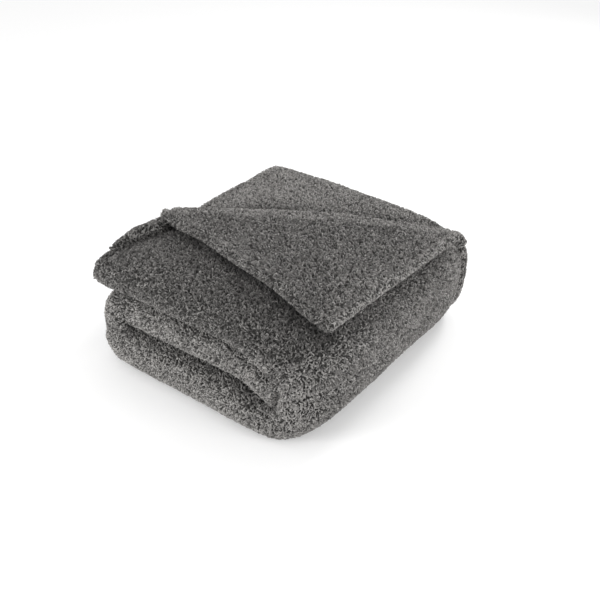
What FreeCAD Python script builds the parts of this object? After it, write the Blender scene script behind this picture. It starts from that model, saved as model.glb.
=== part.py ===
import FreeCAD, Part
import os

import Sketcher

# A plush throw folded into a three-layer block.  The cloth is first folded lengthwise to
# four plies; that strip is then rolled: inner run, turn, lower run, spine, upper run.
# The topmost ply's free corner is turned over along a slanting fold.
#
# +X  along the strip, from the turn to the spine
# +Y  from the rounded folded edges to the open, hemmed edges
# +Z  up; the underside of the block lies on z = 0

os.makedirs("parts", exist_ok=True)
doc = FreeCAD.newDocument("FoldedThrow")

# ---------------------------------------------------------------- driving dimensions (mm)
DIMENSIONS = [
    ("stack_length", 420, "whole block along X"),
    ("stack_depth", 446, "whole block along Y"),
    ("lower_thick", 62, "four plies of the lower run"),
    ("middle_thick", 62, "four plies of the inner run"),
    ("upper_thick", 45.4, "three plies of the upper run"),
    ("ply_thick", 14.8, "one lofty ply"),
    ("body_gap", 0.3, "clearance between the lower and the upper section"),
    ("flap_gap", 0.4, "clearance under the turned corner"),
    ("turn_depth", 56, "X depth of the turn between lower and inner run"),
    ("turn_round", 54, "rounding of that turn"),
    ("spine_depth", 98, "X depth of the outer wrap"),
    ("spine_axis_height", 100, "height of the line the upper section opens about"),
    ("lower_spine_round", 85, "rounding of the outer wrap, below the opening line"),
    ("upper_spine_round", 60, "rounding of the outer wrap, above the opening line"),
    ("edge_round", 22, "rounding of the folded long edge"),
    ("hem_width", 12, "rolled hem"),
    ("hem_round", 4, "rounding of a rolled hem"),
    ("nose_gap", 0.5, "space between the inner end and the outer wrap"),
    ("ply_inset", 15, "inset of the top ply from the block's rounded edges"),
    ("fold_left_x", -205, "left end of the slanting fold"),
    ("fold_left_y", -50, "left end of the slanting fold"),
    ("fold_right_x", 195, "right end of the slanting fold"),
    ("fold_right_y", 195, "right end of the slanting fold"),
    ("tip_x", 192, "tip of the turned corner"),
    ("tip_y", -165, "tip of the turned corner"),
    ("fold_clear", 0.5, "distance of the turned corner from the fold line"),
]
dims = doc.addObject("Spreadsheet::Sheet", "Dims")
for row, (alias, size, note) in enumerate(DIMENSIONS, start=1):
    dims.set(f"A{row}", alias)
    dims.set(f"B{row}", str(size))
    dims.set(f"C{row}", note)
    dims.setAlias(f"B{row}", alias)
doc.recompute()

# Lengths and levels that several pieces share, as expressions on the sheet.
LEFT = "-Dims.stack_length / 2"
RIGHT = "Dims.stack_length / 2"
FRONT = "-Dims.stack_depth / 2"
SIDE_HEM_FRONT = "Dims.stack_depth / 2 - Dims.hem_width"
RUN_DEPTH = "Dims.stack_depth - Dims.hem_width"
SPINE_LEFT = "Dims.stack_length / 2 - Dims.spine_depth"
TURN_RIGHT = "-Dims.stack_length / 2 + Dims.turn_depth"
LOWER_LENGTH = "Dims.stack_length - Dims.turn_depth - Dims.spine_depth"
MIDDLE_LENGTH = f"{LOWER_LENGTH} - Dims.nose_gap - Dims.hem_width"
UPPER_LENGTH = "Dims.stack_length - Dims.hem_width - Dims.spine_depth"
TURN_THICK = "Dims.lower_thick + Dims.middle_thick"
UPPER_BASE = f"{TURN_THICK} + Dims.body_gap"
UPPER_TOP = f"{UPPER_BASE} + Dims.upper_thick"
FLAP_BASE = f"{UPPER_TOP} + Dims.ply_thick + Dims.flap_gap"
LOWER_SPINE_THICK = "Dims.spine_axis_height - Dims.body_gap / 2"
UPPER_SPINE_BASE = "Dims.spine_axis_height + Dims.body_gap / 2"
UPPER_SPINE_THICK = f"{UPPER_TOP} - ({UPPER_SPINE_BASE})"

bodies = []


def amount(expression):
    """The number an expression on the sheet stands for."""
    return float(dims.evalExpression(expression))


def new_body(label, x, y, z):
    """An empty body whose position follows the sheet."""
    body = doc.addObject("PartDesign::Body", label)
    body.Label = label
    for axis, expression in zip("xyz", (x, y, z)):
        body.setExpression(f"Placement.Base.{axis}", expression)
    bodies.append(body)
    return body


def new_sketch(body):
    """A sketch on the body's own XY plane."""
    sketch = body.newObject("Sketcher::SketchObject", f"{body.Name}_outline")
    plane = next(f for f in body.Origin.OriginFeatures if f.Role == "XY_Plane")
    sketch.AttachmentSupport = [(plane, "")]
    sketch.MapMode = "FlatFace"
    return sketch


def add_line(sketch, start, end, construction=False):
    """A straight line between two (x, y) points; returns its index."""
    first, last = (FreeCAD.Vector(x, y, 0) for x, y in (start, end))
    return sketch.addGeometry(Part.LineSegment(first, last), construction)


def bind(sketch, kind, references, expression):
    """A sized constraint that follows an expression on the sheet."""
    index = sketch.addConstraint(Sketcher.Constraint(kind, *references, amount(expression)))
    sketch.setExpression(f"Constraints[{index}]", expression)


def pin_point(sketch, line, end, x, y):
    """Holds one end of a line at a point given by two expressions."""
    bind(sketch, "DistanceX", (-1, 1, line, end), x)
    bind(sketch, "DistanceY", (-1, 1, line, end), y)


def pad(body, sketch, thickness):
    """Pads a sketch upwards by an expression."""
    feature = body.newObject("PartDesign::Pad", f"{body.Name}_pad")
    feature.Profile = sketch
    feature.setExpression("Length", thickness)
    sketch.Visibility = False
    doc.recompute()
    return feature


def edges_on(shape, sides, skipped):
    """Names of the edges that lie on one of the sides and on none of the skipped ones."""
    box = shape.BoundBox
    planes = {
        "left": ("x", box.XMin),
        "right": ("x", box.XMax),
        "front": ("y", box.YMin),
        "back": ("y", box.YMax),
        "bottom": ("z", box.ZMin),
        "top": ("z", box.ZMax),
    }

    def lies_on(edge, side):
        axis, level = planes[side]
        points = edge.discretize(5)
        return all(abs(getattr(point, axis) - level) < 1e-4 for point in points)

    return [
        f"Edge{number}"
        for number, edge in enumerate(shape.Edges, start=1)
        if any(lies_on(edge, side) for side in sides)
        and not any(lies_on(edge, side) for side in skipped)
    ]


def round_over(body, radius, sides, skipped=()):
    """Rounds the edges of the given sides of the body's present tip."""
    base = body.Tip
    names = edges_on(base.Shape, sides, skipped)
    feature = body.newObject("PartDesign::Fillet", f"{body.Name}_round")
    feature.Base = (base, names)
    feature.setExpression("Radius", f"Dims.{radius}")
    base.Visibility = False
    doc.recompute()
    return feature


def slab(label, corner, size, rounds=()):
    """A block of folded cloth: its lowest corner, its size and the edges rounded over."""
    body = new_body(label, *corner)
    length, depth, thickness = size
    sketch = new_sketch(body)
    wide, deep = amount(length), amount(depth)
    corners = [(0, 0), (wide, 0), (wide, deep), (0, deep)]
    for start, end in zip(corners, corners[1:] + corners[:1]):
        add_line(sketch, start, end)
    for line in range(4):
        sketch.addConstraint(Sketcher.Constraint("Coincident", line, 2, (line + 1) % 4, 1))
    for line, way in enumerate(("Horizontal", "Vertical", "Horizontal", "Vertical")):
        sketch.addConstraint(Sketcher.Constraint(way, line))
    sketch.addConstraint(Sketcher.Constraint("Coincident", 0, 1, -1, 1))
    bind(sketch, "DistanceX", (0, 1, 0, 2), length)
    bind(sketch, "DistanceY", (1, 1, 1, 2), depth)
    pad(body, sketch, thickness)
    for radius, sides, skipped in rounds:
        round_over(body, radius, sides, skipped)
    return body


# ------------------------------------------------- lower section: lower run, turn, inner run
FOLDED_EDGE = ("edge_round", ("front",), ("left", "right"))

slab(
    "lower_run",
    (TURN_RIGHT, FRONT, "0"),
    (LOWER_LENGTH, RUN_DEPTH, "Dims.lower_thick"),
    [FOLDED_EDGE],
)
slab(
    "middle_run",
    (TURN_RIGHT, FRONT, "Dims.lower_thick"),
    (MIDDLE_LENGTH, RUN_DEPTH, "Dims.middle_thick"),
    [FOLDED_EDGE],
)
slab(
    "left_turn",
    (LEFT, FRONT, "0"),
    ("Dims.turn_depth", RUN_DEPTH, TURN_THICK),
    [
        ("turn_round", ("left",), ("front", "back")),
        ("edge_round", ("front",), ("right",)),
    ],
)
slab(
    "lower_spine",
    (SPINE_LEFT, FRONT, "0"),
    ("Dims.spine_depth", RUN_DEPTH, LOWER_SPINE_THICK),
    [
        ("lower_spine_round", ("right",), ("front", "back", "top")),
        ("edge_round", ("front",), ("left", "top")),
    ],
)

# ------------------------------------------------- upper section: upper run and upper spine
slab(
    "upper_run",
    (f"{LEFT} + Dims.hem_width", FRONT, UPPER_BASE),
    (UPPER_LENGTH, RUN_DEPTH, "Dims.upper_thick"),
    [FOLDED_EDGE],
)
slab(
    "upper_spine",
    (SPINE_LEFT, FRONT, UPPER_SPINE_BASE),
    ("Dims.spine_depth", RUN_DEPTH, UPPER_SPINE_THICK),
    [
        ("upper_spine_round", ("right",), ("front", "back", "bottom")),
        ("edge_round", ("front",), ("left", "bottom")),
    ],
)

# ------------------------------------------------- hems along the open side (+Y)
HEM_EDGES = ("hem_round", ("back",), ("left", "right"))

slab(
    "lower_side_hem",
    (TURN_RIGHT, SIDE_HEM_FRONT, "0"),
    (LOWER_LENGTH, "Dims.hem_width", "Dims.lower_thick"),
    [HEM_EDGES],
)
slab(
    "middle_side_hem",
    (TURN_RIGHT, SIDE_HEM_FRONT, "Dims.lower_thick"),
    (MIDDLE_LENGTH, "Dims.hem_width", "Dims.middle_thick"),
    [HEM_EDGES],
)
slab(
    "turn_side_hem",
    (LEFT, SIDE_HEM_FRONT, "0"),
    ("Dims.turn_depth", "Dims.hem_width", TURN_THICK),
    [
        ("turn_round", ("left",), ("front", "back")),
        ("hem_round", ("back",), ("right",)),
    ],
)
slab(
    "lower_spine_hem",
    (SPINE_LEFT, SIDE_HEM_FRONT, "0"),
    ("Dims.spine_depth", "Dims.hem_width", LOWER_SPINE_THICK),
    [
        ("lower_spine_round", ("right",), ("front", "back", "top")),
        ("hem_round", ("back",), ("left", "top")),
    ],
)
slab(
    "upper_side_hem",
    (f"{LEFT} + Dims.hem_width", SIDE_HEM_FRONT, UPPER_BASE),
    (UPPER_LENGTH, "Dims.hem_width", "Dims.upper_thick"),
    [HEM_EDGES],
)
slab(
    "upper_spine_hem",
    (SPINE_LEFT, SIDE_HEM_FRONT, UPPER_SPINE_BASE),
    ("Dims.spine_depth", "Dims.hem_width", UPPER_SPINE_THICK),
    [
        ("upper_spine_round", ("right",), ("front", "back", "bottom")),
        ("hem_round", ("back",), ("left", "bottom")),
    ],
)

# ------------------------------------------------- hems across the two ends of the strip
slab(
    "upper_end_hem",
    (LEFT, FRONT, UPPER_BASE),
    ("Dims.hem_width", "Dims.stack_depth", "Dims.upper_thick"),
    [FOLDED_EDGE, ("hem_round", ("left",), ("front",))],
)
slab(
    "inner_end_hem",
    (f"{TURN_RIGHT} + {MIDDLE_LENGTH}", FRONT, "Dims.lower_thick"),
    ("Dims.hem_width", "Dims.stack_depth", "Dims.middle_thick"),
    [FOLDED_EDGE, ("hem_round", ("right",), ("front",))],
)


# ------------------------------------------------- the top ply and its turned corner
def point(x, y):
    """A point of the plan, as numbers, from two expressions."""
    return FreeCAD.Vector(amount(x), amount(y), 0)


def closed_outline(sketch, corners):
    """Joined lines round a list of points; returns the index of the first."""
    start = sketch.GeometryCount
    ring = [(corner.x, corner.y) for corner in corners]
    for first, last in zip(ring, ring[1:] + ring[:1]):
        add_line(sketch, first, last)
    count = len(ring)
    for step in range(count):
        references = (start + step, 2, start + (step + 1) % count, 1)
        sketch.addConstraint(Sketcher.Constraint("Coincident", *references))
    return start


top_ply = new_body("top_ply", "0", "0", UPPER_TOP)
ply_sketch = new_sketch(top_ply)
PLY_FRONT = f"{FRONT} + Dims.ply_inset"
ply_corners = [
    ("Dims.fold_left_x", PLY_FRONT),
    ("Dims.fold_right_x", PLY_FRONT),
    ("Dims.fold_right_x", "Dims.fold_right_y"),
    ("Dims.fold_left_x", "Dims.fold_left_y"),
]
first_line = closed_outline(ply_sketch, [point(*corner) for corner in ply_corners])
for step, corner in enumerate(ply_corners):
    pin_point(ply_sketch, first_line + step, 1, *corner)
pad(top_ply, ply_sketch, "Dims.ply_thick")
round_over(top_ply, "hem_round", ("top",), ("back",))

# The three corners of the turned corner, the slanting fold shifted clear of its own line.
FOLD_RUN = "(Dims.fold_right_x - Dims.fold_left_x)"
FOLD_RISE = "(Dims.fold_right_y - Dims.fold_left_y)"
FOLD_SPAN = f"sqrt({FOLD_RUN} ^ 2 + {FOLD_RISE} ^ 2)"
SHIFT_X = f"Dims.fold_clear * {FOLD_RISE} / {FOLD_SPAN}"
SHIFT_Y = f"Dims.fold_clear * {FOLD_RUN} / {FOLD_SPAN}"
TIP = ("Dims.tip_x", "Dims.tip_y")
FOLD_RIGHT = (f"Dims.fold_right_x + {SHIFT_X}", f"Dims.fold_right_y - {SHIFT_Y}")
FOLD_LEFT = (f"Dims.fold_left_x + {SHIFT_X}", f"Dims.fold_left_y - {SHIFT_Y}")
tip, fold_right, fold_left = (point(*p) for p in (TIP, FOLD_RIGHT, FOLD_LEFT))


def inset_from(corner, along, leg):
    """The point on the line corner-along that is one hem width away from the leg."""
    direction = (along - corner).normalize()
    other = (leg - corner).normalize()
    return corner + direction * (amount("Dims.hem_width") / direction.cross(other).Length)


panel_left = inset_from(fold_left, fold_right, tip)
panel_right = inset_from(fold_right, fold_left, tip)
to_right = (fold_right - tip).normalize()
to_left = (fold_left - tip).normalize()
hem_reach = amount("Dims.hem_width") / to_right.cross(to_left).Length
panel_tip = tip + (to_right + to_left) * hem_reach


def flap_sketch(body):
    """A sketch with the flap's full triangle as construction lines: end leg, side leg, fold."""
    sketch = new_sketch(body)
    for start, end in ((fold_left, tip), (tip, fold_right), (fold_right, fold_left)):
        add_line(sketch, (start.x, start.y), (end.x, end.y), True)
    for line, corner in enumerate((FOLD_LEFT, TIP, FOLD_RIGHT)):
        sketch.addConstraint(Sketcher.Constraint("Coincident", line, 2, (line + 1) % 3, 1))
        pin_point(sketch, line, 1, *corner)
    return sketch


END_LEG, SIDE_LEG, FOLD = 0, 1, 2


def hem_away(sketch, line, leg):
    """Keeps the start of a line one hem width away from a leg of the triangle."""
    bind(sketch, "Distance", (line, 1, leg), "Dims.hem_width")


def on_line(sketch, line, other):
    """Keeps the start of a line on one side of the triangle."""
    sketch.addConstraint(Sketcher.Constraint("PointOnObject", line, 1, other))


def same_point(sketch, line, other):
    """Joins the start of a line to the start of a side of the triangle."""
    sketch.addConstraint(Sketcher.Constraint("Coincident", line, 1, other, 1))


flap = new_body("corner_flap", "0", "0", FLAP_BASE)
sketch = flap_sketch(flap)
start = closed_outline(sketch, [panel_tip, panel_right, panel_left])
hem_away(sketch, start, END_LEG)
hem_away(sketch, start, SIDE_LEG)
on_line(sketch, start + 1, FOLD)
hem_away(sketch, start + 1, SIDE_LEG)
on_line(sketch, start + 2, FOLD)
hem_away(sketch, start + 2, END_LEG)
pad(flap, sketch, "Dims.ply_thick")

end_hem = new_body("flap_end_hem", "0", "0", FLAP_BASE)
sketch = flap_sketch(end_hem)
start = closed_outline(sketch, [fold_left, tip, panel_tip, panel_left])
same_point(sketch, start, END_LEG)
same_point(sketch, start + 1, SIDE_LEG)
hem_away(sketch, start + 2, END_LEG)
hem_away(sketch, start + 2, SIDE_LEG)
on_line(sketch, start + 3, FOLD)
hem_away(sketch, start + 3, END_LEG)
pad(end_hem, sketch, "Dims.ply_thick")

side_hem = new_body("flap_side_hem", "0", "0", FLAP_BASE)
sketch = flap_sketch(side_hem)
start = closed_outline(sketch, [tip, fold_right, panel_right, panel_tip])
same_point(sketch, start, SIDE_LEG)
same_point(sketch, start + 1, FOLD)
on_line(sketch, start + 2, FOLD)
hem_away(sketch, start + 2, SIDE_LEG)
hem_away(sketch, start + 3, SIDE_LEG)
hem_away(sketch, start + 3, END_LEG)
pad(side_hem, sketch, "Dims.ply_thick")

# ------------------------------------------------- check and write every piece
doc.recompute()
for item in doc.Objects:
    if {"Invalid", "Error"} & set(item.State):
        raise RuntimeError(f"{item.Label} did not rebuild: {item.State}")
for body in bodies:
    shape = body.Shape
    if shape.isNull() or not shape.isValid() or len(shape.Solids) != 1:
        raise RuntimeError(f"{body.Label} is not one valid solid")
    shape.exportStep(f"parts/{body.Label}.step")
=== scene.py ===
import math

import bmesh
import bpy
import numpy as np
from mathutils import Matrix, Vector, noise
from mathutils.bvhtree import BVHTree


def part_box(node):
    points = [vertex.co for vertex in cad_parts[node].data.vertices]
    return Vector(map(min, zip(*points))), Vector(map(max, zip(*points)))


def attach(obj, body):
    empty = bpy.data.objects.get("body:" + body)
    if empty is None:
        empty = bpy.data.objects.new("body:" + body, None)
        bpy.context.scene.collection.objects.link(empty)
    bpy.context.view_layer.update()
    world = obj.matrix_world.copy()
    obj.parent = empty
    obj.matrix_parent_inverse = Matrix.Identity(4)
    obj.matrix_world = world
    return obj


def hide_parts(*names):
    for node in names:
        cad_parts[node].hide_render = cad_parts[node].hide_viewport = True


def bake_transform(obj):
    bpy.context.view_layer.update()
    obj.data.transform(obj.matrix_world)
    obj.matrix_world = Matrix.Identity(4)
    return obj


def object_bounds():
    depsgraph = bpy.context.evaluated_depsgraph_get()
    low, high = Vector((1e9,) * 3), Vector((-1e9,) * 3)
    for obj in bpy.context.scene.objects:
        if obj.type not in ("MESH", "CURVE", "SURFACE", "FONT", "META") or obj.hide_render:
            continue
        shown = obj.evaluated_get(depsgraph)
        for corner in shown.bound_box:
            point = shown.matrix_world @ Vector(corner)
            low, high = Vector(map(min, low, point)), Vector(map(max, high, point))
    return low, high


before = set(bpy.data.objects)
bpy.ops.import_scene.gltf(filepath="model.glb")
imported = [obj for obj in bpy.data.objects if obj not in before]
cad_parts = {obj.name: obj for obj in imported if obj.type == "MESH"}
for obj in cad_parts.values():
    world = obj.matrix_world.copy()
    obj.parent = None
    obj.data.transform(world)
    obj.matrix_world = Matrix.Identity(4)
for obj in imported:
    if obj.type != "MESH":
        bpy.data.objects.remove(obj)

cad_low, cad_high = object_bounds()
rng = np.random.default_rng(11)
MM = 0.001
TINY = 1e-12

# ---------------------------------------------------------------- levels taken from the CAD frame
PILE = 3.0 * MM  # the cloth lies this far inside the CAD surfaces, and the pile fills the rest
X_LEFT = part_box("left_turn")[0][0] + PILE
X_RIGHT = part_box("lower_spine")[1][0] - PILE
Y_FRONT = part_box("lower_run")[0][1] + PILE
Y_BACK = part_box("lower_side_hem")[1][1] - PILE
X_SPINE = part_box("lower_spine")[0][0]
Z_FLOOR = PILE
Z_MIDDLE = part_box("middle_run")[0][2]
Z_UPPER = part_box("upper_run")[0][2]
TOP_MARGIN = 1.0 * MM
Z_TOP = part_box("top_ply")[1][2] - TOP_MARGIN
Z_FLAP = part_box("corner_flap")[1][2]
Z_CUT = (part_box("lower_spine")[1][2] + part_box("upper_spine")[0][2]) / 2
PLY = Z_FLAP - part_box("corner_flap")[0][2]

# the corner's outline in plan: both ends of its slanting fold, which lies 10 to 33 mm in
# front of the hinge axis, and its tip
END_HEM_LOW, END_HEM_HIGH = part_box("flap_end_hem")
FOLD_LEFT = np.array([END_HEM_LOW[0] + 10 * MM, -70 * MM])
FOLD_RIGHT = np.array(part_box("flap_side_hem")[1][:2]) + [2 * MM, -33 * MM]
TIP = np.array([END_HEM_HIGH[0] - 4 * MM, END_HEM_LOW[1] + 7 * MM])
HALF_X = (cad_high[0] - cad_low[0]) / 2
HALF_Y = (cad_high[1] - cad_low[1]) / 2


# ---------------------------------------------------------------- small helpers
def smooth(value, low, high):
    """0 below low, 1 above high, an S-curve between."""
    t = np.clip((value - low) / (high - low), 0, 1)
    return t * t * (3 - 2 * t)


def bell(value, centre, width):
    """1 at centre, fading to nothing over about twice width on each side."""
    return np.exp(-(((value - centre) / width) ** 2))


def unit(vectors):
    """The vectors, each divided by its length."""
    return vectors / (np.linalg.norm(vectors, axis=-1, keepdims=True) + TINY)


def lumps(points, size, seed):
    """Smooth noise from -1 to 1 for each point, with features about size across."""
    shift = Vector((seed * 3.7, seed * 1.9, seed * 2.3))
    return np.array([noise.noise(Vector(p) / size + shift) for p in points.tolist()])


def make_mesh(name, verts, faces, materials, face_slots=None):
    """A smooth-shaded mesh object from arrays of vertices and of equal-sized faces."""
    mesh = bpy.data.meshes.new(name)
    verts = np.asarray(verts, np.float32)
    faces = np.asarray(faces, np.int32)
    sides = faces.shape[1]
    mesh.vertices.add(len(verts))
    mesh.vertices.foreach_set("co", verts.ravel())
    mesh.loops.add(faces.size)
    mesh.loops.foreach_set("vertex_index", faces.ravel())
    mesh.polygons.add(len(faces))
    mesh.polygons.foreach_set("loop_start", np.arange(0, faces.size, sides, dtype=np.int32))
    mesh.polygons.foreach_set("use_smooth", np.ones(len(faces), bool))
    for material in materials:
        mesh.materials.append(material)
    if face_slots is not None:
        mesh.polygons.foreach_set("material_index", np.asarray(face_slots, np.int32))
    mesh.update()
    mesh.validate()
    obj = bpy.data.objects.new(name, mesh)
    bpy.context.scene.collection.objects.link(obj)
    return obj


def face_outwards(obj):
    """Turns the faces of a closed mesh outwards."""
    bm = bmesh.new()
    bm.from_mesh(obj.data)
    bmesh.ops.recalc_face_normals(bm, faces=bm.faces)
    bm.to_mesh(obj.data)
    bm.free()


# ---------------------------------------------------------------- materials
def principled(name, colour, roughness, sheen):
    """A matt cloth-like material of one colour."""
    material = bpy.data.materials.new(name)
    material.use_nodes = True
    shader = material.node_tree.nodes["Principled BSDF"]
    shader.inputs["Base Color"].default_value = (*colour, 1)
    shader.inputs["Roughness"].default_value = roughness
    shader.inputs["Specular IOR Level"].default_value = 0.15
    shader.inputs["Sheen Weight"].default_value = sheen
    shader.inputs["Sheen Roughness"].default_value = 0.5
    shader.inputs["Sheen Tint"].default_value = (1.0, 0.97, 0.95, 1)
    return material


GREY = np.array([0.194, 0.188, 0.181])  # the pile's middle colour
SHADES = [0.38, 0.64, 0.92, 1.24, 1.60, 2.00]  # the locks' shades, as shares of GREY: they carry the locks' own random tone and also painted shade and light
KNIT_SCALE = 260  # mottling about 4 mm across
# the knit's mottled colours, kept darker than the pile as painted shade in the gaps between the locks
KNIT_DARK, KNIT_LIGHT = GREY * 0.10, GREY * 0.30


def ground_cloth():
    """The knitted ground the pile stands on: mottled and finely bumped, and darker than the pile as
    painted shade in the gaps between the locks.
    """
    material = principled("ground_cloth", KNIT_LIGHT, 0.95, 0.1)
    tree = material.node_tree
    shader = tree.nodes["Principled BSDF"]
    place = tree.nodes.new("ShaderNodeTexCoord")
    mottle = tree.nodes.new("ShaderNodeTexNoise")
    mottle.inputs["Scale"].default_value = KNIT_SCALE
    mottle.inputs["Detail"].default_value = 4
    ramp = tree.nodes.new("ShaderNodeValToRGB")
    ramp.color_ramp.elements[0].color = (*KNIT_DARK, 1)
    ramp.color_ramp.elements[0].position = 0.35
    ramp.color_ramp.elements[1].color = (*KNIT_LIGHT, 1)
    ramp.color_ramp.elements[1].position = 0.68
    bump = tree.nodes.new("ShaderNodeBump")
    bump.inputs["Strength"].default_value = 0.6
    bump.inputs["Distance"].default_value = 0.0015
    tree.links.new(place.outputs["Object"], mottle.inputs["Vector"])
    tree.links.new(mottle.outputs["Fac"], ramp.inputs["Fac"])
    tree.links.new(ramp.outputs["Color"], shader.inputs["Base Color"])
    tree.links.new(mottle.outputs["Fac"], bump.inputs["Height"])
    tree.links.new(bump.outputs["Normal"], shader.inputs["Normal"])
    return material


CLOTH = ground_cloth()
CURLS = [principled(f"pile_{number}", GREY * shade, 0.85, 0.15) for number, shade in enumerate(SHADES)]


# ---------------------------------------------------------------- the folded strip
HALF_PLY = 0.47  # half a ply's thickness, in plies
PITCH = (Z_TOP - Z_FLOOR) / 12.0  # one of the block's twelve plies; sizes the folds across the strip
ARC_POINTS = 17  # points round each fold across the strip
FRONT_FULLNESS = 0.82  # the front folds are fuller than a half round
INNER_FULLNESS = {"lower": 0.70, "upper": 1.0}  # the same, for the lower part of each fold


def full(value, power):
    """Fills out the quarter round of a fold when power is below 1."""
    return math.copysign(abs(value) ** power, value)


def profile(step, inner_power):
    """The four nested plies across the strip, A at the top to D, as one closed outline.

    Returns the five rows alpha, beta, gamma, delta and level, and how many points the outer
    side has. A point's y is alpha * front + beta * (end of ply A) + gamma * back + delta,
    and level is its height in plies from -2 (inner face) to +2 (outer face).
    """
    count = max(8, int((Y_BACK - Y_FRONT) / step))
    arc = np.linspace(0, 1, ARC_POINTS)
    wide, narrow = 2 * PITCH, PITCH

    def side(sign):
        rows = []
        for k in np.linspace(1, 0, count):  # A, from its free edge to the front
            rows.append((1 - k, k, 0, (1 - k) * wide, 1.5 + sign * HALF_PLY))
        radius = 1.5 + sign * HALF_PLY
        for t in arc[1:-1]:  # round the front, A to B
            angle = math.pi / 2 + math.pi * t
            power = FRONT_FULLNESS if angle < math.pi else inner_power
            reach = wide + radius * PITCH * full(math.cos(angle), power)
            rows.append((1, 0, 0, reach, radius * full(math.sin(angle), power)))
        for k in np.linspace(0, 1, count):  # B, to the back
            rows.append((1 - k, 0, k, (1 - k) * wide - k * narrow, -1.5 - sign * HALF_PLY))
        radius = 0.5 + sign * HALF_PLY
        for t in arc[1:-1]:  # round the back, B to C
            angle = -math.pi / 2 + math.pi * t
            reach = -narrow + radius * PITCH * math.cos(angle)
            rows.append((0, 0, 1, reach, -1 + radius * math.sin(angle)))
        for k in np.linspace(1, 0, count):  # C, to the front
            rows.append((1 - k, 0, k, (1 - k) * wide - k * narrow, -0.5 + sign * HALF_PLY))
        radius = 0.5 - sign * HALF_PLY
        for t in arc[1:-1]:  # round the front inside, C to D
            angle = -math.pi / 2 - math.pi * t
            rows.append((1, 0, 0, wide + radius * PITCH * math.cos(angle), radius * math.sin(angle)))
        for k in np.linspace(0, 1, count):  # D, to its free edge
            rows.append((1 - k, 0, k, (1 - k) * wide, 0.5 - sign * HALF_PLY))
        return rows

    outer, inner = side(1), side(-1)
    return np.array(outer + inner[::-1]).T, len(outer)


def run_x(first, last, step):
    """Evenly spaced x positions from first to last."""
    return np.linspace(first, last, max(2, int(abs(last - first) / step) + 1))


NOSE = 42 * MM  # the length over which the upper section's free end rounds off
NOSE_STEPS = np.sin(np.linspace(0, math.pi / 2, 8)[1:])
NOSE_DROP, NOSE_LIFT = 6 * MM, 9 * MM  # how far its top sinks and its underside rises
SPINE_HOLLOW = 34 * MM  # the radius of the spine's inner face
SPINE_FULLNESS = {"lower": 0.75, "upper": 0.6}
TURN_FULLNESS, TURN_REACH = 0.78, 1.10  # the left turn is fuller and wider than a half round
TURN_HOLLOW = 2 * MM
GAP = 0.5 * MM  # left between runs that lie on each other
MIDDLE_REACH = 18 * MM  # how far the middle run reaches into the spine
SPINE_POINTS, TURN_POINTS = 12, 15


def stations(section, step):
    """Outer and inner edge points (x, z) of the strip at each station along it."""
    outer, inner = [], []
    turn = Z_MIDDLE - Z_FLOOR
    x_turn = X_LEFT + turn

    def spine(angles, outer_z, inner_z):
        power = SPINE_FULLNESS[section]
        for a in angles:
            across, rise = math.cos(a), abs(math.sin(a))
            full_across, full_rise = abs(across) ** power, rise**power
            outer_x = X_SPINE + (X_RIGHT - X_SPINE) * full_across
            outer.append((outer_x, Z_CUT + (outer_z - Z_CUT) * full_rise))
            inner.append((X_SPINE + SPINE_HOLLOW * across, Z_CUT + (inner_z - Z_CUT) * rise))

    if section == "lower":
        for x in run_x(X_SPINE + MIDDLE_REACH, x_turn, step):
            outer.append((x, Z_UPPER - GAP))
            inner.append((x, Z_MIDDLE))
        for a in np.linspace(math.pi / 2, 3 * math.pi / 2, TURN_POINTS)[1:-1]:
            flatten = (Z_UPPER - GAP - Z_MIDDLE) / turn if math.sin(a) > 0 else 1
            across, rise = full(math.cos(a), TURN_FULLNESS), full(math.sin(a), TURN_FULLNESS)
            outer.append((x_turn + turn * TURN_REACH * across, Z_MIDDLE + turn * flatten * rise))
            inner.append((x_turn + TURN_HOLLOW * math.cos(a), Z_MIDDLE + GAP * math.sin(a)))
        for x in run_x(x_turn, X_SPINE, step):
            outer.append((x, Z_FLOOR))
            inner.append((x, Z_MIDDLE - GAP))
        spine(np.linspace(-math.pi / 2, 0, SPINE_POINTS)[1:], Z_FLOOR, Z_MIDDLE)
    else:
        spine(np.linspace(0, math.pi / 2, SPINE_POINTS), Z_TOP, Z_UPPER)
        run = run_x(X_SPINE, X_LEFT + NOSE, step)[1:]
        for x in np.append(run, X_LEFT + NOSE * (1 - NOSE_STEPS)):
            into_nose = min(1, max(0, (X_LEFT + NOSE - x) / NOSE))
            drop = 1 - math.sqrt(1 - into_nose**2 * 0.97)
            outer.append((x, Z_TOP - NOSE_DROP * drop))
            inner.append((x, Z_UPPER + GAP + NOSE_LIFT * drop))
    return np.array(outer), np.array(inner)


def fold_y(x):
    """The y of the slanting fold at x."""
    t = (x - FOLD_LEFT[0]) / (FOLD_RIGHT[0] - FOLD_LEFT[0])
    return FOLD_LEFT[1] + t * (FOLD_RIGHT[1] - FOLD_LEFT[1])


# how the folded block departs from a plain box: heights and depths, and the stretches of x
# or of u = x / HALF_X and v = y / HALF_Y over which each one comes in
UPPER_CREASE, UPPER_CREASE_WIDTH = 17 * MM, 9 * MM
MIDDLE_CREASE, MIDDLE_CREASE_WIDTH = 5 * MM, 7 * MM
CREASE_FROM, CREASE_TO = (-0.225, -0.18), (0.09, 0.15)
TUCK, TUCK_LEVEL, TUCK_WIDTH, TUCK_TO = 6 * MM, 48 * MM, 7 * MM, (-0.16, -0.10)
DROOP, DROOP_X, DROOP_WIDTH = 22 * MM, 0.135, 0.035
LIFT, LIFT_FROM, LIFT_TO = 9 * MM, (-0.22, -0.12), (0.05, 0.15)
SWELL, SWELL_TO = 8 * MM, (0.05, 0.20)
HANG, HANG_PLACE, HANG_WIDTH = 12 * MM, (0.205, 0.205), 0.05
DIP, DIP_PLACE, DIP_WIDTHS = 10 * MM, (-0.21, -0.05), (0.05, 0.07)
EDGE_SAG, WIDE_SAG = 9 * MM, 4 * MM
EAR, EAR_PLACE, EAR_WIDTH = 14 * MM, (-0.200, 0.215), 0.045
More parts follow.
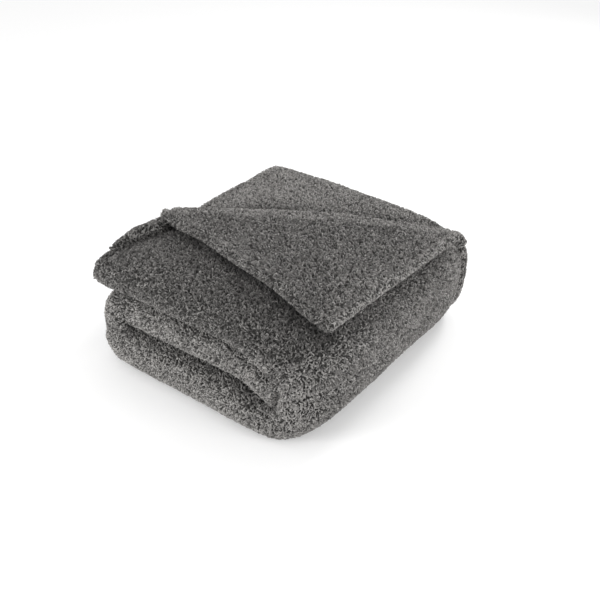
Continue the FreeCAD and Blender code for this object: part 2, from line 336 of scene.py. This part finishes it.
BACK_RISE = 7 * MM
VALLEY, VALLEY_BEHIND, VALLEY_WIDTH = 7 * MM, 0.06, 0.03
LUMPS, LUMP_SIZES = (4.0 * MM, 4.0 * MM, 3.5 * MM), (0.10, 0.10, 0.11)


def warp(points):
    """Rounds the block's corners, lets its edges sag and makes its surfaces uneven."""
    p = np.array(points, float)
    u, v = p[:, 0] / HALF_X, p[:, 1] / HALF_Y
    height = np.clip(p[:, 2] / Z_FLAP, 0, 1)
    near_front = smooth(-v, 0.5, 0.8)
    # the corners are rounded in plan, the front right one most
    corner = np.where(u < 0, 0.035, np.where(v < 0, 0.13, 0.085))
    au, av = np.clip(abs(u), 0, 1.1), np.clip(abs(v), 0, 1.1)
    p[:, 0] -= p[:, 0] * corner * av**6 * au**2
    p[:, 1] -= p[:, 1] * corner * au**6 * av**2
    # creases press into the front between the runs, and a short one low on the left
    creases = UPPER_CREASE * bell(p[:, 2], Z_UPPER, UPPER_CREASE_WIDTH)
    creases += MIDDLE_CREASE * bell(p[:, 2], Z_MIDDLE, MIDDLE_CREASE_WIDTH)
    creases *= smooth(p[:, 0], *CREASE_FROM) * (1 - smooth(p[:, 0], *CREASE_TO))
    tuck = TUCK * bell(p[:, 2], TUCK_LEVEL, TUCK_WIDTH) * (1 - smooth(p[:, 0], *TUCK_TO))
    p[:, 1] += (creases + tuck) * near_front
    # the folds droop towards the spine's front corner, and are lifted left of it
    droop = DROOP * bell(p[:, 0], DROOP_X, DROOP_WIDTH) * smooth(-v, 0.3, 0.9)
    p[:, 2] -= droop * np.sin(math.pi * height)
    lifted = (1 - smooth(p[:, 0], *LIFT_TO)) * (0.35 + 0.65 * smooth(p[:, 0], *LIFT_FROM))
    p[:, 2] += LIFT * np.sin(math.pi * height) * lifted
    # the lowest fold swells out at the front
    low = (1 - smooth(height, 0.15, 0.5)) * (1 - smooth(p[:, 0], *SWELL_TO))
    p[:, 1] -= SWELL * low * smooth(-v, 0.4, 0.95)
    # the back right corner hangs lower, and so does the upper section's free end
    hang = bell(p[:, 0], HANG_PLACE[0], HANG_WIDTH) * bell(p[:, 1], HANG_PLACE[1], HANG_WIDTH)
    dip = bell(p[:, 0], DIP_PLACE[0], DIP_WIDTHS[0]) * bell(p[:, 1], DIP_PLACE[1], DIP_WIDTHS[1])
    p[:, 2] -= (HANG * hang + DIP * dip) * smooth(height, 0.5, 0.9)
    sag = EDGE_SAG * (au**4 + av**4) + WIDE_SAG * (au**2 + av**2)
    p[:, 2] -= sag * height**3
    # the back left corner of the upper plies stands up like an ear, and the back rises
    ear = bell(p[:, 0], EAR_PLACE[0], EAR_WIDTH) * bell(p[:, 1], EAR_PLACE[1], EAR_WIDTH)
    back_rise = BACK_RISE * smooth(v, 0.2, 1) * smooth(-u, -0.6, 0.4)
    p[:, 2] += (EAR * ear + back_rise) * smooth(height, 0.72, 0.9)
    # a valley runs close behind the slanting fold
    behind = p[:, 1] - fold_y(p[:, 0])
    p[:, 2] -= VALLEY * bell(behind, VALLEY_BEHIND, VALLEY_WIDTH) * smooth(height, 0.72, 0.82)
    # soft lumps everywhere but at the floor
    grow = smooth(p[:, 2], 0, 0.05)
    for axis, seed in ((2, 1), (0, 2), (1, 3)):
        p[:, axis] += LUMPS[axis] * lumps(points, LUMP_SIZES[axis], seed) * grow
    return p


PLY_END_SWINGS = (0.172, 0.198)  # here ply A's end passes from the slanting fold to the back
MIDDLE_SETBACK, SETBACK_LENGTH = 13 * MM, 55 * MM  # the middle run lies behind the other two


def strip(name, section, step):
    """The four plies of one section as a closed mesh.

    Also returns its grid of points before warping, one row per station, and how many of a
    row's points are on the outer side."""
    (alpha, beta, gamma, delta, level), half = profile(step, INNER_FULLNESS[section])
    outer, inner = stations(section, step)
    share = (level + 2) / 4
    x = inner[:, :1] + (outer[:, :1] - inner[:, :1]) * share
    z = inner[:, 1:] + (outer[:, 1:] - inner[:, 1:]) * share
    front = np.full(len(outer), Y_FRONT)
    back = np.full(len(outer), Y_BACK)
    ply_end = back.copy()
    if section == "upper":
        turned = fold_y(outer[:, 0])
        ply_end = turned + (back - turned) * smooth(outer[:, 0], *PLY_END_SWINGS)
    else:
        middle = (np.arange(len(outer)) < np.argmax(outer[:, 1] < Z_MIDDLE)).astype(float)
        setback = MIDDLE_SETBACK * smooth(outer[:, 0], X_LEFT, X_LEFT + SETBACK_LENGTH)
        front = front + middle * setback
    y = alpha * front[:, None] + beta * ply_end[:, None] + gamma * back[:, None] + delta
    grid = np.stack([x, y, z], axis=2)
    rows, cols = grid.shape[:2]
    index = np.arange(rows * cols).reshape(rows, cols)
    right = np.roll(index, -1, axis=1)
    quads = np.stack([index[:-1], index[1:], right[1:], right[:-1]], axis=2).reshape(-1, 4)
    caps = []
    for end, flip in ((0, False), (rows - 1, True)):
        a = index[end, : half - 1]
        b = index[end, 1:half]
        c = index[end, ::-1][1:half]
        d = index[end, ::-1][: half - 1]
        cap = np.stack([a, b, c, d], axis=1)
        caps.append(cap[:, ::-1] if flip else cap)
    verts = warp(grid.reshape(-1, 3))
    obj = make_mesh(name, verts, np.concatenate([quads, *caps]), [CLOTH])
    face_outwards(obj)
    return obj, grid, half


STEP = 12 * MM  # the usual distance between a strip's grid points
lower_cloth, lower_grid, half_profile = strip("lower_section_cloth", "lower", STEP)
upper_cloth, upper_grid, _ = strip("upper_section_cloth", "upper", STEP)


def tree_of(*objects):
    """One search tree over several meshes."""
    verts, faces = [], []
    for obj in objects:
        base = len(verts)
        verts += [v.co.copy() for v in obj.data.vertices]
        faces += [[base + i for i in p.vertices] for p in obj.data.polygons]
    return BVHTree.FromPolygons(verts, faces)


# ---------------------------------------------------------------- the turned corner
def flap_lattice(count):
    """Triangular lattice over the corner: indices, plan positions and faces."""
    ids, plan = {}, []
    for i in range(count + 1):
        for j in range(count + 1 - i):
            ids[i, j] = len(plan)
            plan.append(TIP + (FOLD_LEFT - TIP) * i / count + (FOLD_RIGHT - TIP) * j / count)
    faces = []
    for i in range(count):
        for j in range(count - i):
            faces.append((ids[i, j], ids[i + 1, j], ids[i, j + 1]))
            if i + j < count - 1:
                faces.append((ids[i + 1, j], ids[i + 1, j + 1], ids[i, j + 1]))
    return ids, np.array(plan), np.array(faces)


COUNT = 36  # lattice steps along each side of the corner
lattice, plan, lattice_faces = flap_lattice(COUNT)
upper_tree = tree_of(upper_cloth)


def drop_onto(tree, x, y):
    """The height of the surface below a point, or 0 beyond its edge."""
    hit = tree.ray_cast(Vector((x, y, 0.5)), Vector((0, 0, -1)))[0]
    return hit.z if hit is not None else 0.0


# The corner lies on the top ply like a stretched skin: it may not sink into it, and it
# spans the rounded edges of the block with a little droop.
CLEARANCE = 2.5 * MM
END_ARCH, SIDE_ARCH = 9 * MM, 3 * MM  # how far its two hemmed edges stand up from the ply below
support = np.array([drop_onto(upper_tree, x, y) for x, y in plan.tolist()]) + CLEARANCE
level = np.median(support[support > 0.1])
beside = np.array([[i, j] for i, j in lattice], float) / COUNT
support += END_ARCH * (1 - smooth(beside[:, 1], 0.0, 0.16)) * (1 - smooth(beside[:, 0], 0.7, 1.0))
support += SIDE_ARCH * (1 - smooth(beside[:, 0], 0.0, 0.12))
height = np.maximum(support, level)
neighbours = [set() for _ in plan]
for a, b, c in lattice_faces.tolist():
    neighbours[a] |= {b, c}
    neighbours[b] |= {a, c}
    neighbours[c] |= {a, b}
most = max(len(n) for n in neighbours)
around = np.array([(list(n) + [k] * most)[:most] for k, n in enumerate(neighbours)])
STEP_DROOP, ROUNDS = 0.06 * MM, 400
for _ in range(ROUNDS):
    height = np.maximum(support, height[around].mean(axis=1) - STEP_DROOP)
underside = np.column_stack([plan, height])
topside = underside + [0, 0, PLY * 0.97]
topside[:, 2] += 2.0 * MM * lumps(topside, 0.06, 4)


def flap_mesh():
    """The turned corner as a closed sheet one ply thick."""
    count = len(plan)
    edge = [lattice[i, 0] for i in range(COUNT, -1, -1)]
    edge += [lattice[0, j] for j in range(1, COUNT + 1)]
    edge += [lattice[COUNT - k, k] for k in range(COUNT - 1, 0, -1)]
    ring = edge + edge[:1]
    walls = []
    for a, b in zip(ring[:-1], ring[1:]):
        walls += [(a, b, b + count), (a, b + count, a + count)]
    faces = np.concatenate([lattice_faces[:, ::-1], lattice_faces + count, np.array(walls)])
    obj = make_mesh("corner_flap_cloth", np.concatenate([underside, topside]), faces, [CLOTH])
    face_outwards(obj)
    return obj


flap_cloth = flap_mesh()


BEAD_SIDES = 10


def tube(name, path, radius):
    """A closed round bead of cloth along a path; radius may vary along it."""
    sides = BEAD_SIDES
    path = np.array(path, float)
    radius = np.broadcast_to(radius, len(path))
    along = unit(np.gradient(path, axis=0))
    across = np.cross(along[0], [0, 0, 1.0])
    if np.linalg.norm(across) < 0.2:
        across = np.cross(along[0], [0, 1.0, 0])
    side = np.empty_like(path)
    for k, forward in enumerate(along):  # carried along the path, so that the bead never twists
        across = across - (across @ forward) * forward
        across /= np.linalg.norm(across)
        side[k] = across
    up = np.cross(side, along)
    angle = np.linspace(0, 2 * math.pi, sides, endpoint=False)
    ring = np.cos(angle)[None, :, None] * side[:, None] + np.sin(angle)[None, :, None] * up[:, None]
    verts = (path[:, None] + ring * radius[:, None, None]).reshape(-1, 3)
    rows = len(path)
    index = np.arange(rows * sides).reshape(rows, sides)
    nxt = np.roll(index, -1, axis=1)
    quads = np.stack([index[:-1], nxt[:-1], nxt[1:], index[1:]], axis=2).reshape(-1, 4)
    tips = [path[0] - along[0] * radius[0] * 0.6, path[-1] + along[-1] * radius[-1] * 0.6]
    verts = np.concatenate([verts, tips])
    ends = []
    for k in range(sides):
        ends.append((len(verts) - 2, index[0, (k + 1) % sides], index[0, k]))
        ends.append((len(verts) - 1, index[-1, k], index[-1, (k + 1) % sides]))
    bm = bmesh.new()
    made = [bm.verts.new(v) for v in verts]
    for q in quads.tolist():
        bm.faces.new([made[i] for i in q])
    for corners in ends:
        bm.faces.new([made[i] for i in corners])
    bmesh.ops.recalc_face_normals(bm, faces=bm.faces)
    mesh = bpy.data.meshes.new(name)
    bm.to_mesh(mesh)
    bm.free()
    mesh.polygons.foreach_set("use_smooth", np.ones(len(mesh.polygons), bool))
    mesh.materials.append(CLOTH)
    obj = bpy.data.objects.new(name, mesh)
    bpy.context.scene.collection.objects.link(obj)
    return obj


HEM = PLY * 0.54  # the radius of the corner's hems
# the side hem runs on, past the corner's end, down into the arch of the spine
SIDE_HEM_ENDS = np.array([[5, 4, -5], [8, 8, -14]]) * MM
leg_middle = (underside + topside) / 2
end_leg = leg_middle[[lattice[i, 0] for i in range(COUNT + 1)]]
side_leg = leg_middle[[lattice[0, j] for j in range(COUNT + 1)]]
side_leg = np.concatenate([side_leg, side_leg[-1:] + SIDE_HEM_ENDS])
fold_line = underside[[lattice[COUNT - k, k] for k in range(COUNT + 1)]]
flap_end_hem = tube("flap_end_hem_bead", end_leg, HEM)
flap_side_hem = tube("flap_side_hem_bead", side_leg, HEM)


ROLL_LEFT, ROLL_RIGHT = 15 * MM, 13 * MM  # the roll's radius at the fold's two ends
ROLL_BULGE = 7 * MM  # how far its middle stands back behind a straight line
ROLL_RAISE = 1.0 * MM
ROLL_END = 0.035  # the share of its length over which each end rounds off


def fold_roll():
    """The rounded edge where the top ply turns over: a loose roll along the fold.

    Also returns the directions up and along the fold."""
    along = fold_line[-1] - fold_line[0]
    along /= np.linalg.norm(along)
    behind = np.cross([0, 0, 1.0], along)
    behind /= np.linalg.norm(behind)
    up = np.cross(along, behind)
    share = np.linspace(0, 1, len(fold_line))
    radius = ROLL_LEFT + (ROLL_RIGHT - ROLL_LEFT) * share
    bulge = ROLL_BULGE * np.sin(math.pi * share)
    from_end = np.clip(1 - np.minimum(share, 1 - share) / ROLL_END, 0, 1)
    round_ends = np.sqrt(np.clip(1 - from_end**2, 0.02, 1))
    centre = fold_line + behind * bulge[:, None] + up * ROLL_RAISE
    angle = np.linspace(-math.pi / 2, 0.80 * math.pi, 16)
    ring = np.cos(angle)[:, None] * behind + np.sin(angle)[:, None] * up
    verts = (centre[:, None] + ring[None] * (radius * round_ends)[:, None, None]).reshape(-1, 3)
    rows, cols = len(fold_line), len(angle)
    index = np.arange(rows * cols).reshape(rows, cols)
    quads = np.stack([index[:-1, :-1], index[:-1, 1:], index[1:, 1:], index[1:, :-1]], axis=2)
    obj = make_mesh("turned_fold", verts, quads.reshape(-1, 4), [CLOTH])
    return obj, up, along


turned_fold, fold_up, fold_along = fold_roll()


# ---------------------------------------------------------------- hems of the folded strip
BEAD = PITCH * 0.53  # the radius of the strip's hems
SPINE_HEM_OUT = 5 * MM  # round the spine the hems stand out this far,
SPINE_HEM_SWELL = 0.3  # and are this share thicker
SPINE_HEM_START = 40 * MM
UPPER_HEM_STARTS = 12 * MM  # the upper outer hem shows only where ply A ends this near the back


def middle_path(grid, a, b):
    """The warped line half way between two columns of a strip's grid."""
    return warp((grid[:, a] + grid[:, b]) / 2)


def out_of_spine(path):
    """The direction away from the spine's axis at each point of a path."""
    return unit(np.column_stack([path[:, 0] - X_SPINE, 0 * path[:, 0], path[:, 2] - Z_CUT]))


lower_edge = middle_path(lower_grid, 0, -1)
second_half = np.arange(len(lower_edge)) * 2 > len(lower_edge)
on_lower_spine = smooth(lower_edge[:, 0], X_SPINE, X_SPINE + SPINE_HEM_START) * second_half
lower_edge += out_of_spine(lower_edge) * (on_lower_spine * SPINE_HEM_OUT)[:, None]
lower_top_hem = tube("lower_outer_side_hem", lower_edge, BEAD * (1 + SPINE_HEM_SWELL * on_lower_spine))
lower_second_hem = tube(
    "lower_inner_side_hem", middle_path(lower_grid, half_profile - 1, half_profile), BEAD
)
on_spine = upper_grid[:, 0, 1] > Y_BACK - UPPER_HEM_STARTS
spine_edge = middle_path(upper_grid[on_spine], 0, -1)
spine_edge += out_of_spine(spine_edge) * SPINE_HEM_OUT
upper_top_hem = tube("upper_outer_side_hem", spine_edge, BEAD * (1 + SPINE_HEM_SWELL))
upper_second_hem = tube(
    "upper_inner_side_hem", middle_path(upper_grid, half_profile - 1, half_profile), BEAD
)


def end_path(grid, row):
    """The S-shaped middle line of the plies at one end of the strip."""
    outer = grid[row, :half_profile]
    inner = grid[row, ::-1][:half_profile]
    return warp((outer + inner) / 2)


# the upper section's end hem rolls up along the left shoulder, from the front to the fold
SHOULDER_FRONT, SHOULDER_FOLD = [-0.2045, -0.176], [-0.188, -0.074]
SHOULDER_POINTS = 16
shoulder = np.linspace(SHOULDER_FRONT, SHOULDER_FOLD, SHOULDER_POINTS)
swell = np.interp(np.linspace(0, 1, SHOULDER_POINTS), [0, 0.45, 1], [5, 13, 14]) * MM
inside = shoulder + [6 * MM, 0]
shoulder_z = np.array([drop_onto(upper_tree, x, y) for x, y in inside.tolist()])
end_roll = tube("upper_end_hem_roll", np.column_stack([shoulder, shoulder_z + swell * 0.5]), swell)
inner_end_hem = tube("inner_end_hem_bead", end_path(lower_grid, 0), BEAD)
upper_end_hem = tube("upper_end_hem_bead", end_path(upper_grid, -1), BEAD)


# ---------------------------------------------------------------- the curly pile
SHORT_PILED = [flap_side_hem, upper_top_hem, lower_top_hem]


def surface_arrays(objects):
    """Triangle corners, corner normals, areas and short-piled flags of several meshes together."""
    corner_list, normal_list = [], []
    for obj in objects:
        mesh = obj.data
        mesh.calc_loop_triangles()
        co = np.empty(len(mesh.vertices) * 3)
        mesh.vertices.foreach_get("co", co)
        no = np.empty(len(mesh.vertices) * 3)
        mesh.vertices.foreach_get("normal", no)
        tri = np.empty(len(mesh.loop_triangles) * 3, np.int32)
        mesh.loop_triangles.foreach_get("vertices", tri)
        tri = tri.reshape(-1, 3)
        corner_list.append(co.reshape(-1, 3)[tri])
        normal_list.append(no.reshape(-1, 3)[tri])
    corners = np.concatenate(corner_list)
    normals = np.concatenate(normal_list)
    twice_area = np.cross(corners[:, 1] - corners[:, 0], corners[:, 2] - corners[:, 0])
    area = np.linalg.norm(twice_area, axis=1) / 2
    number = np.repeat(np.arange(len(objects)), [len(c) for c in corner_list])
    short = np.array([obj in SHORT_PILED for obj in objects])[number]
    return corners, normals, area, short


# straight out, and slanting to four sides
LOOKS = [(0, 0, 1), (0.75, 0, 0.66), (-0.75, 0, 0.66), (0, 0.75, 0.66), (0, -0.75, 0.66)]
LOOK_START = 2.0 * MM


def exposed(points, normals, tree, reach):
    """True where a look outwards meets nothing within reach."""
    seen = np.zeros(len(points), bool)
    helper = np.where(abs(normals[:, 2:]) < 0.9, [[0, 0, 1.0]], [[1.0, 0, 0]])
    across = unit(np.cross(normals, helper))
    other = np.cross(normals, across)
    starts = points + normals * LOOK_START
    for dx, dy, dz in LOOKS:
        look = across * dx + other * dy + normals * dz
        for k in np.nonzero(~seen)[0]:
            seen[k] = tree.ray_cast(Vector(starts[k]), Vector(look[k]), reach)[0] is None
    return seen


def sample(objects, spacing, tree, reach=0.03, hidden_from=None):
    """Random points on the faces of the meshes that the tree leaves open, or on every face
    when tree is None, with their normals and short-piled flags.

    With hidden_from, only on faces that this second tree hides."""
    corners, normals, area, short = surface_arrays(objects)
    middle = corners.mean(axis=1)
    flat = np.cross(corners[:, 1] - corners[:, 0], corners[:, 2] - corners[:, 0])
    flat /= np.linalg.norm(flat, axis=1)[:, None] + 1e-15
    open_face = np.ones(len(middle), bool) if tree is None else exposed(middle, flat, tree, reach)
    if hidden_from is not None:
        open_face &= ~exposed(middle, flat, hidden_from, reach)
    corners, normals, area, short = (a[open_face] for a in (corners, normals, area, short))
    count = int(area.sum() / spacing**2)
    pick = rng.choice(len(area), count, p=area / area.sum())
    u, v = rng.random((2, count, 1))
    u, v = np.where(u + v > 1, 1 - u, u), np.where(u + v > 1, 1 - v, v)
    weights = np.stack([1 - u - v, u, v], axis=1)
    points = (corners[pick] * weights).sum(axis=1)
    direction = unit((normals[pick] * weights).sum(axis=1))
    return points, direction, short[pick].astype(float)


def crease_height(level, x):
    """The height at x of the front crease that lies at this level before warping."""
    across = np.linspace(X_LEFT, X_SPINE, 24)
    line = warp(np.column_stack([across, np.full(24, Y_FRONT), np.full(24, level)]))
    return np.interp(x, line[:, 0], line[:, 2])


FLAP_LEVEL = Z_TOP + 6 * MM  # the corner's top is above this height
# the painted shade in the front creases: each crease's level before warping and how deep its shade is,
# then the shade's width
PAINTED_CREASE_SHADE = ((Z_UPPER, 0.58), (Z_MIDDLE, 0.36))
PAINTED_CREASE_SHADE_WIDTH = 7 * MM
# the painted shadow along the corner's left edge: its width, and the height that it stays above
CORNER_SHADOW_WIDTH, CORNER_SHADOW_LEVEL = 14 * MM, 150 * MM
TONE_SPREAD = 0.24


def lock_tones_with_painted_light_and_shade(points, short):
    """How light each lock is, from about 0 to 1: mostly random, with a few broad random shades, plus
    painted shade and painted light by where the lock lies.
    """
    x, y, z = points.T
    tone = 0.5 + TONE_SPREAD * rng.normal(size=len(points))
    tone = tone + 0.08 * lumps(points, 0.05, 9) + 0.10 * lumps(points, 0.012, 8)
    tone += 0.14 * short  # lighter on the short-piled hems: partly their pressed pile, partly painted light on the hem bands
    # painted shadow just behind the slanting fold, and painted light towards the back of the top
    behind_fold = y - fold_y(x)
    back = 0.60 * smooth(behind_fold, 0.055, 0.12) - 0.38
    tone += back * smooth(behind_fold, 0.02, 0.03) * smooth(z, 0.14, 0.16)
    # painted shade in the front's creases
    in_front = smooth(-y, 0.13, 0.16) * (1 - smooth(x, 0.13, 0.16))
    for level, depth in PAINTED_CREASE_SHADE:
        tone -= depth * bell(z, crease_height(level, x), PAINTED_CREASE_SHADE_WIDTH) * in_front
    # a little painted shade on the turned corner, and a painted highlight on the edge of its fold
    on_flap = z > FLAP_LEVEL
    tone += (0.26 * smooth(behind_fold, -0.022, -0.004) - 0.08) * on_flap
    # painted shadow under the corner's left edge and close beside it
    leg = unit(FOLD_LEFT - TIP)
    beyond_leg = (x - TIP[0]) * -leg[1] + (y - TIP[1]) * leg[0]
    leg_shadow = bell(beyond_leg, 0, CORNER_SHADOW_WIDTH) * (x < TIP[0]) * ~on_flap
    tone -= 0.32 * leg_shadow * (z > CORNER_SHADOW_LEVEL)
    # painted shade on the upper fold in front, and painted light on the lower folds and on the spine
    tone -= 0.21 * (1 - smooth(behind_fold, -0.03, 0.0)) * smooth(z, 0.13, 0.16) * (z < Z_TOP)
    tone += 0.22 * (1 - smooth(z, 0.09, 0.15)) * smooth(-y, 0.15, 0.2)
    tone += 0.07 * smooth(x, 0.15, 0.19)
    return tone


RINGS = 4  # rings of three points along a lock
LOCK_CORNERS = (0.5, 2.6, 4.7)  # their angles
FREE_SHARE = 0.35  # the share of locks that stand free at one end
TAPER_FREE = np.array([1.0, 1.0, 0.8, 0.3])[:, None]
TAPER_BOUND = np.array([0.6, 1.0, 1.0, 0.6])[:, None]
ROOT = 0.5 * MM  # a lock starts this far inside the cloth
FLOOR_GAP = 0.2 * MM


def curls(name, points, normals, short, length, lift, radius, comb=None):
    """Short curly locks: bent, tapered strands that start and end in the cloth, or stand free.

    With comb, the locks lie roughly along that direction."""
    count = len(points)
    q = np.linspace(0, 1, RINGS)[None, :, None]
    spin = rng.normal(size=(count, 3))
    if comb is not None:
        spin = np.cross(comb, normals) + 0.2 * spin
    along = unit(np.cross(normals, spin))
    across = np.cross(normals, along)
    size = rng.uniform(0.75, 1.3, (count, 1, 1)) * (1 - 0.2 * short)[:, None, None]
    patch = (1 + 0.22 * lumps(points, 0.016, 5))[:, None, None] * (1 - 0.5 * short)[:, None, None]
    free = rng.random((count, 1, 1)) < FREE_SHARE
    arch = np.where(free, 1.15 * np.sin(q * math.pi / 2), 4 * q * (1 - q))
    reach = np.where(free, 0.55 * q**2, q - 0.5)
    sway = np.where(free, 0.35 * np.sin(q * 2.5), 0.5 * np.sin(q * 2 * math.pi))
    n, t, b = normals[:, None], along[:, None], across[:, None]
    centre = (
        points[:, None]
        + n * (arch * lift * patch * size - ROOT)
        + t * reach * length * size
        + b * sway * length * 0.5 * rng.uniform(-1, 1, (count, 1, 1))
    )
    tangent = unit(np.gradient(centre, axis=1))
    side = unit(np.cross(tangent, n + 0.3 * b))
    up = np.cross(side, tangent)
    taper = np.where(free, TAPER_FREE, TAPER_BOUND)
    thick = radius * taper * rng.uniform(0.8, 1.25, (count, 1, 1))
    corners = [centre + thick * (math.cos(a) * side + math.sin(a) * up) for a in LOCK_CORNERS]
    verts = np.stack(corners, axis=2).reshape(-1, 3)
    verts[:, 2] = np.maximum(verts[:, 2], FLOOR_GAP)
    ring_faces = []
    for ring in range(RINGS - 1):
        for corner in range(3):
            a, a_next = ring * 3 + corner, ring * 3 + (corner + 1) % 3
            ring_faces.append((a, a_next, a_next + 3, a + 3))
    base = (np.arange(count) * RINGS * 3)[:, None]
    faces = (base[:, None] + np.array(ring_faces)[None]).reshape(-1, 4)
    shade = np.clip((lock_tones_with_painted_light_and_shade(points, short) * len(SHADES)).astype(int), 0, len(SHADES) - 1)
    return make_mesh(name, verts, faces, CURLS, np.repeat(shade, len(ring_faces)))


lower_cloths = [lower_cloth, lower_top_hem, lower_second_hem, inner_end_hem]
upper_cloths = [upper_cloth, upper_top_hem, upper_second_hem, upper_end_hem, end_roll]
flap_cloths = [flap_cloth, flap_end_hem, flap_side_hem]
everything = tree_of(*lower_cloths, *upper_cloths, *flap_cloths, turned_fold)
SPACING = 2.35 * MM  # between locks
INNER_SPACING = SPACING * 1.55  # on faces that only opening shows, with larger locks
SHAPE = dict(length=4.3 * MM, lift=3.0 * MM, radius=0.76 * MM)
INNER_SHAPE = dict(length=6.2 * MM, lift=3.2 * MM, radius=1.1 * MM)


def pile(name, cloths, body):
    """The pile of one body: dense where it shows at rest, sparser where only opening shows it.

    Returns both pieces."""
    own = tree_of(*cloths)
    outer = curls(name, *sample(cloths, SPACING, everything), **SHAPE)
    inner = curls(
        f"{name}_inside", *sample(cloths, INNER_SPACING, own, hidden_from=everything), **INNER_SHAPE
    )
    for piece in (outer, inner):
        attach(piece, body)
    return [outer, inner]


lower_pile = pile("lower_pile", lower_cloths, "base")
upper_pile = pile("upper_pile", upper_cloths, "upper")
flap_pile = pile("flap_pile", flap_cloths, "flap")
# the fold's hidden side is lined too, with locks that lie along it, because those are drawn
# out less when the corner opens
fold_pile = curls("fold_pile", *sample([turned_fold], SPACING, everything), **SHAPE)
inner_points, inner_normals, inner_short = sample([turned_fold], INNER_SPACING, None)
fold_lining = curls(
    "fold_pile_inside", inner_points, -inner_normals, inner_short, comb=fold_along, **INNER_SHAPE
)

# ---------------------------------------------------------------- bodies, and the CAD parts hidden
for body, cloths in (("base", lower_cloths), ("upper", upper_cloths), ("flap", flap_cloths)):
    for piece in cloths:
        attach(piece, body)
for piece in (turned_fold, fold_pile, fold_lining):
    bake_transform(piece)

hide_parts("lower_run", "middle_run", "left_turn", "lower_spine")
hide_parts("lower_side_hem", "turn_side_hem", "lower_spine_hem", "middle_side_hem")
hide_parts("inner_end_hem")
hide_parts("upper_run", "upper_spine", "top_ply")
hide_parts("upper_side_hem", "upper_spine_hem")
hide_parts("upper_end_hem")
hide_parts("corner_flap")
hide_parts("flap_end_hem")
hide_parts("flap_side_hem")


# ---------------------------------------------------------------- floor, light and camera
REACH = 20.0
FLOOR_GLOW = 0.22  # keeps the shadow soft and pale
WORLD_STRENGTH = 0.85
floor_corners = [(-REACH, -REACH, 0), (REACH, -REACH, 0), (REACH, REACH, 0), (-REACH, REACH, 0)]
floor_mesh = bpy.data.meshes.new("floor")
floor_mesh.from_pydata(floor_corners, [], [(0, 1, 2, 3)])
floor = bpy.data.objects.new("floor", floor_mesh)
bpy.context.scene.collection.objects.link(floor)
floor_paint = principled("floor_white", (0.80, 0.80, 0.80), 0.9, 0.0)
floor_shader = floor_paint.node_tree.nodes["Principled BSDF"]
floor_shader.inputs["Emission Color"].default_value = (1, 1, 1, 1)
floor_shader.inputs["Emission Strength"].default_value = FLOOR_GLOW
floor_mesh.materials.append(floor_paint)

world = bpy.data.worlds.new("studio")
world.use_nodes = True
sky = world.node_tree.nodes["Background"]
sky.inputs["Color"].default_value = (1, 1, 1, 1)
sky.inputs["Strength"].default_value = WORLD_STRENGTH
bpy.context.scene.world = world


def softbox(name, place, aim, size, power):
    """A round area light at place, turned to aim."""
    light = bpy.data.lights.new(name, "AREA")
    light.shape = "DISK"
    light.size = size
    light.energy = power
    obj = bpy.data.objects.new(name, light)
    obj.location = place
    obj.rotation_mode = "QUATERNION"
    obj.rotation_quaternion = (Vector(aim) - Vector(place)).to_track_quat("-Z", "Y")
    bpy.context.scene.collection.objects.link(obj)


softbox("key", (0.2, 1.5, 1.1), (0, 0, 0.1), 0.5, 13)
softbox("side", (1.8, 0.2, 0.6), (0, 0, 0.1), 0.8, 12)
softbox("front", (-0.9, -1.7, 0.45), (0, 0, 0.08), 0.8, 25)

bpy.context.scene.view_settings.view_transform = "Standard"

AZIMUTH, ELEVATION, DISTANCE = math.radians(37.3), math.radians(33.2), 1.33
AIM = Vector((0.028, -0.0105, 0.088))
SENSOR, LENS = 36.0, 51.0
level_reach = math.cos(ELEVATION)
away = Vector((math.sin(AZIMUTH) * level_reach, -math.cos(AZIMUTH) * level_reach, math.sin(ELEVATION)))
camera_data = bpy.data.cameras.new("camera")
camera_data.sensor_width = SENSOR
camera_data.lens = LENS
camera = bpy.data.objects.new("camera", camera_data)
bpy.context.scene.collection.objects.link(camera)
camera.location = AIM + away * DISTANCE
camera.rotation_mode = "QUATERNION"
camera.rotation_quaternion = (-away).to_track_quat("-Z", "Y")
bpy.context.scene.camera = camera
